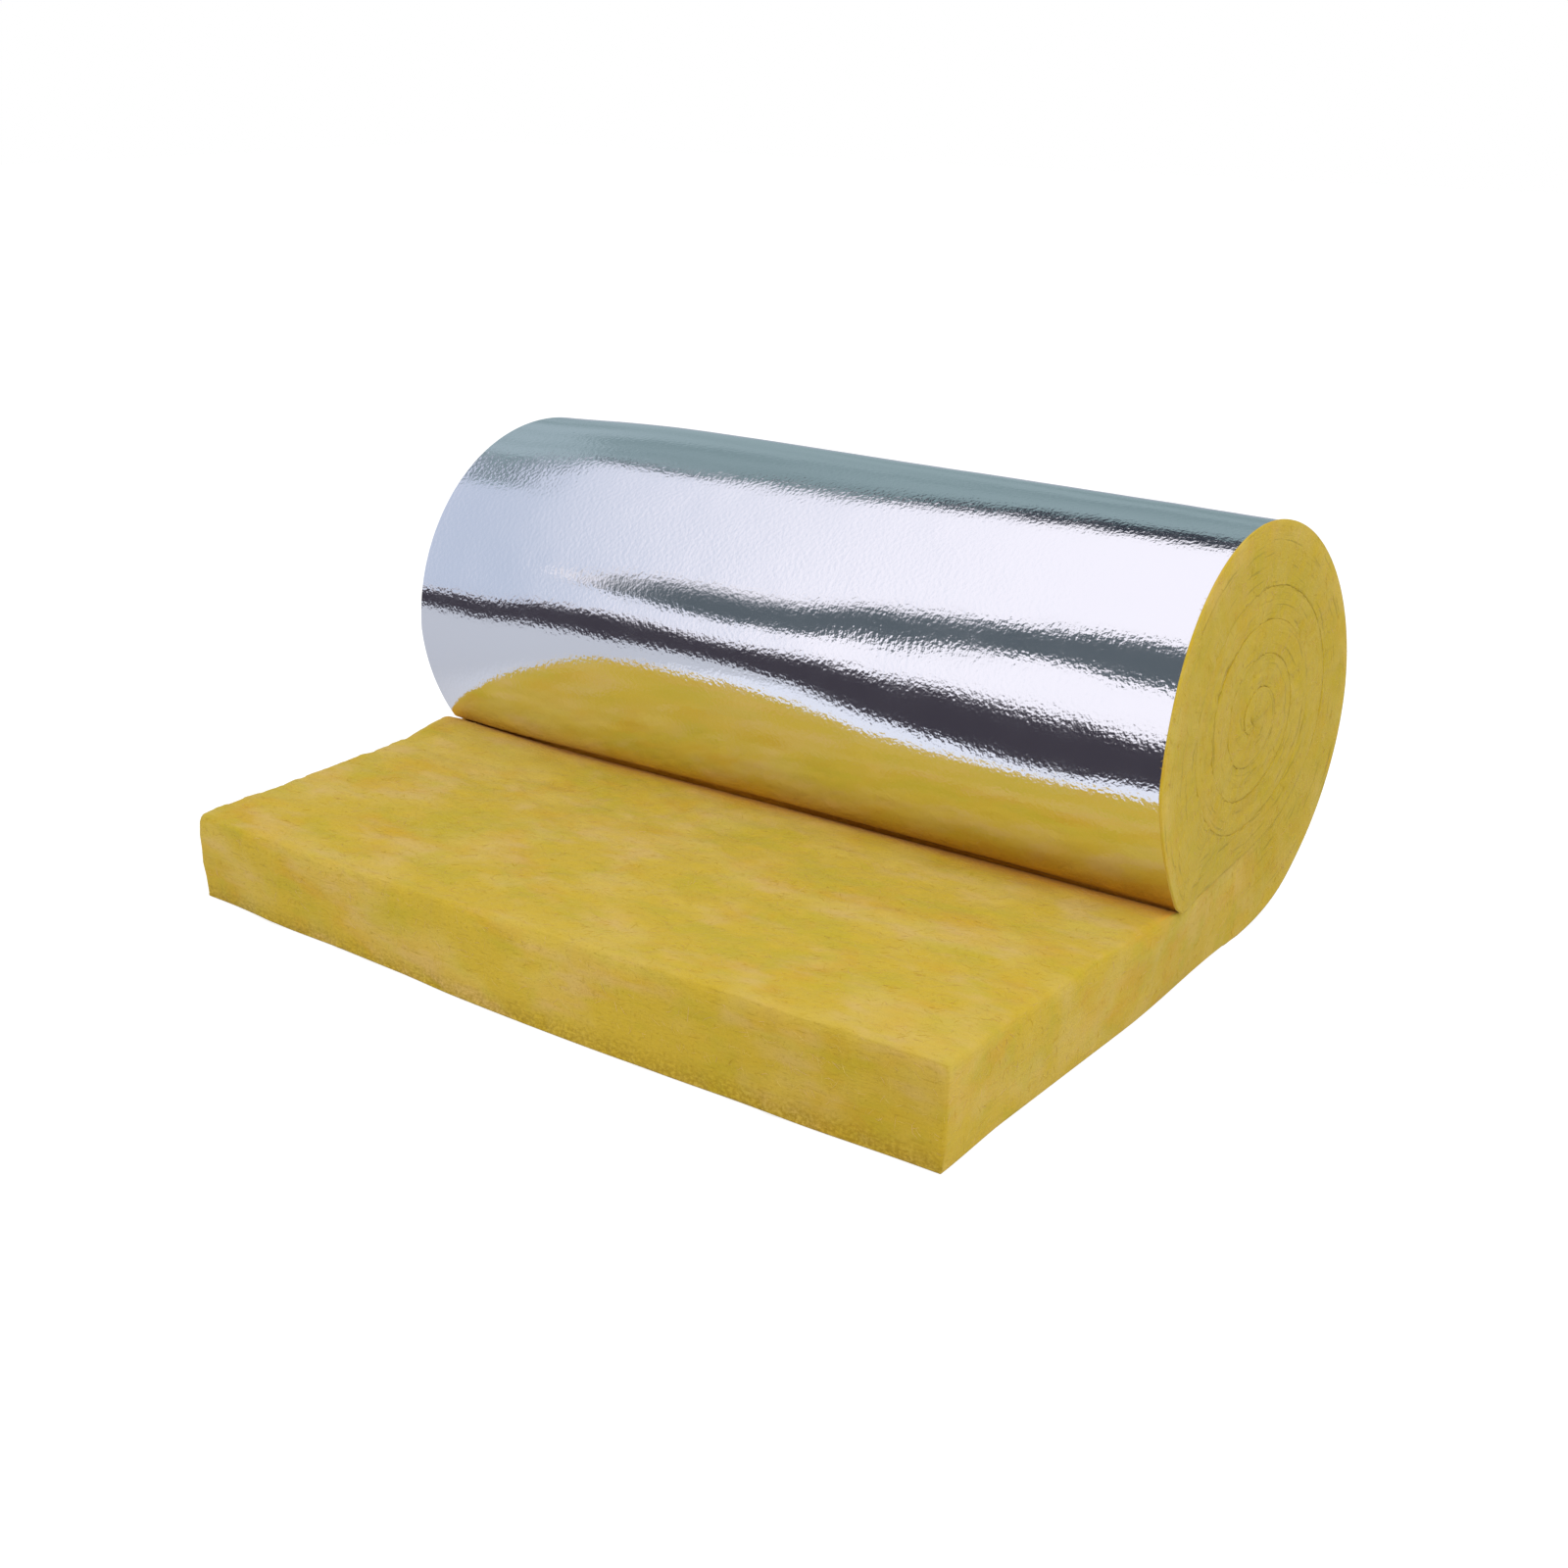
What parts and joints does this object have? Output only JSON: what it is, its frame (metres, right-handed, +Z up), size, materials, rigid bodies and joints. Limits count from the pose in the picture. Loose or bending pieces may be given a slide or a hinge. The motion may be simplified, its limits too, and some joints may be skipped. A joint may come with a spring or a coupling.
{
  "type": "insulation roll",
  "caption": "Foil-faced glass wool blanket wound into a loose roll, with its free end unrolled flat in front, wool side up.",
  "frame": {"origin": "on the floor, at the centre of the footprint", "axes": "+X along the roll's axis, -Y towards the cut end of the flat stretch, +Z up"},
  "size_m": [1.2, 1.002, 0.575],
  "materials": {
    "glass_wool": "yellow glass wool, matt and fibrous",
    "foil": "bright aluminium foil laminate, lightly crinkled"
  },
  "bodies": {
    "root": {"glass_wool_blanket": "glass_wool", "foil_facing_wound": "foil", "foil_facing_flat": "foil"}
  },
  "joints": []
}
